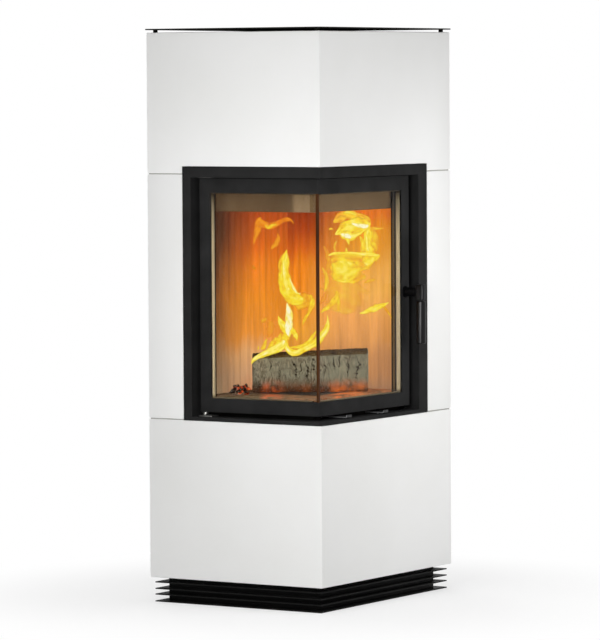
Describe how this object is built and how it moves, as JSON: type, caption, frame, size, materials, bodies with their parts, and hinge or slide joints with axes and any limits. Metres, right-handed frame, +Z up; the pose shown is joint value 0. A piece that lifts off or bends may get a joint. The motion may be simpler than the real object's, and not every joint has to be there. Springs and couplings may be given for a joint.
{
  "type": "wood stove",
  "caption": "Free-standing wood stove in smooth white blocks: black ribbed plinth, glazed corner door on a side hinge with drop handle, air slides, lined firebox, rear flue outlet.",
  "frame": {"origin": "on the floor under the middle of the cladding's plan, on the underside of the base plate", "axes": "+Z up; the handle face looks to -Y and the side pane to -X, so the glazed corner edge is at -X and -Y"},
  "size_m": [0.662, 0.575, 1.5],
  "materials": {
    "white_block": "smooth matt white painted concrete block",
    "bed_mortar": "grey bedding mortar, set back",
    "plinth_black": "matt black powder coat",
    "cover_black": "matt black powder coat",
    "frame_black": "matt black heat-resistant paint",
    "door_black": "matt black heat-resistant paint",
    "handle_black": "satin black coat",
    "dark_steel": "dark primed steel",
    "bare_steel": "bare machined steel",
    "firebox_steel": "black stove paint, heat dulled",
    "grate_iron": "rough grey cast iron",
    "chamotte": "pale beige fireclay, fluted on the fire side",
    "insulation": "pale pressed vermiculite board",
    "pane_glass": "clear glass ceramic with a faint warm tint",
    "seal_tape": "pale woven glass-fibre tape",
    "sealing_rope": "grey-black braided sealing rope",
    "charred_wood": "ash-grey charred split billet with cracks"
  },
  "bodies": {
    "stove": {"lower_block": "white_block", "left_pillar": "white_block", "right_pillar": "white_block", "rear_panel": "white_block", "upper_block": "white_block", "bed_joint_lower": "bed_mortar", "bed_joint_upper": "bed_mortar", "base_plate": "plinth_black", "plinth_core": "plinth_black", "plinth_fin_1": "plinth_black", "plinth_fin_2": "plinth_black", "plinth_fin_3": "plinth_black", "cover_plate": "cover_black", "cover_spacer_1": "cover_black", "cover_spacer_2": "cover_black", "cover_spacer_3": "cover_black", "cover_spacer_4": "cover_black", "cover_frame": "frame_black", "stand_frame": "dark_steel", "air_box": "dark_steel", "air_duct": "dark_steel", "flue_collar": "dark_steel", "stand_foot_1": "bare_steel", "stand_foot_2": "bare_steel", "stand_foot_3": "bare_steel", "stand_foot_4": "bare_steel", "lower_hinge": "bare_steel", "upper_hinge": "bare_steel", "hinge_washer": "bare_steel", "latch_striker": "bare_steel", "firebox_body": "firebox_steel", "smoke_hood": "firebox_steel", "hearth_front": "chamotte", "hearth_rear": "chamotte", "back_lining": "chamotte", "right_lining": "chamotte", "front_lintel": "chamotte", "side_lintel": "chamotte", "lower_baffle": "insulation", "upper_baffle": "insulation", "rear_insulation": "insulation"},
    "door": {"door_frame": "door_black", "front_glass": "pane_glass", "side_glass": "pane_glass", "glass_corner_strip": "firebox_steel", "front_glass_seal": "seal_tape", "side_glass_seal": "seal_tape", "door_gasket": "sealing_rope", "handle_collar": "handle_black"},
    "handle": {"handle_shaft": "handle_black", "handle_head": "handle_black", "handle_grip": "handle_black", "latch_cam": "bare_steel"},
    "primary_air": {"primary_air_slide": "bare_steel"},
    "secondary_air": {"secondary_air_slide": "bare_steel"},
    "grate": {"grate": "grate_iron"},
    "ash_pan": {"ash_pan": "dark_steel"},
    "firewood": {"firewood_log": "charred_wood"}
  },
  "joints": [
    {"name": "door_hinge", "type": "hinge", "parent": "stove", "child": "door", "pos_m": [-0.2985, 0.1085, 0], "axis": [0, 0, -1], "range_deg": [0, 105]},
    {"name": "handle_turn", "type": "hinge", "parent": "door", "child": "handle", "pos_m": [0.1245, -0.2455, 0.805], "axis": [0, -1, 0], "range_deg": [0, 80]},
    {"name": "primary_air_control", "type": "slide", "parent": "stove", "child": "primary_air", "axis": [-1, 0, 0], "range_m": [0, 0.035]},
    {"name": "secondary_air_control", "type": "slide", "parent": "stove", "child": "secondary_air", "axis": [1, 0, 0], "range_m": [0, 0.035]},
    {"name": "grate_lift", "type": "slide", "parent": "stove", "child": "grate", "axis": [0, 0, 1], "range_m": [0, 0.25]},
    {"name": "ash_pan_lift", "type": "slide", "parent": "stove", "child": "ash_pan", "axis": [0, 0, 1], "range_m": [0, 0.2]},
    {"name": "firewood_lift", "type": "slide", "parent": "grate", "child": "firewood", "axis": [0, 0, 1], "range_m": [0, 0.1]}
  ],
  "couplings": [
    {"joint": "ash_pan_lift", "follows": "grate_lift", "ratio": 0.8}
  ]
}
